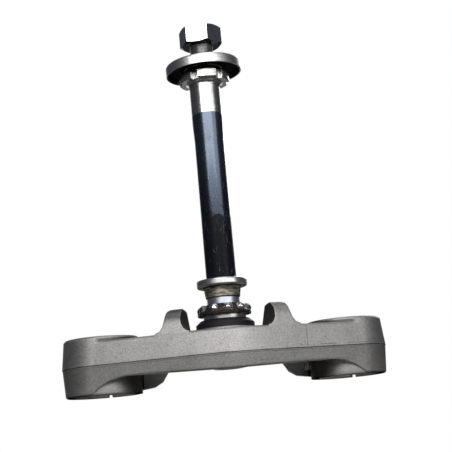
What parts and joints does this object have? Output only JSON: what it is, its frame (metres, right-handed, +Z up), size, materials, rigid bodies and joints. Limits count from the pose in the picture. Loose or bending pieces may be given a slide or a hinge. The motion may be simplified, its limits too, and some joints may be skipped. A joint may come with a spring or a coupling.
{
  "type": "motorcycle triple clamp",
  "caption": "Lower fork yoke with upright steering stem, slit fork clamps, steering stops, lower head bearing, ring nuts, dust cap and hexagon stem nut.",
  "frame": {"origin": "on the stem axis, at the mouth of the bore in the lower end of the stem", "axes": "+Z up along the stem, +X towards one fork leg (the right-hand clamp as the picture shows it), +Y towards the front of the motorcycle, where the fork legs are; the picture looks along +Y"},
  "size_m": [0.2728, 0.11, 0.3047],
  "materials": {
    "cast_alloy": "fine cast grain, bare, dull",
    "bolt_steel": "zinc plated",
    "stem_paint": "black enamel on steel, bare at the journal and root",
    "rubber": "satin, slightly oily",
    "race_steel": "ground steel with a film of grease",
    "cage_steel": "pressed steel, brown with grease",
    "ball_steel": "polished",
    "nut_steel": "turned, plated",
    "cap_steel": "satin pressed sheet",
    "chrome_nut": "bright"
  },
  "bodies": {
    "root": {"yoke": "cast_alloy", "pinch_bolts": "bolt_steel", "stem": "stem_paint", "lower_dust_seal": "rubber", "lower_inner_race": "race_steel", "lower_ball_cage": "cage_steel", "lower_balls": "ball_steel", "upper_inner_race": "race_steel", "lower_ring_nut": "nut_steel", "ring_nut_washer": "rubber", "upper_ring_nut": "nut_steel", "dust_cap": "cap_steel", "dust_cap_seal": "rubber", "stem_nut": "chrome_nut"}
  },
  "joints": []
}
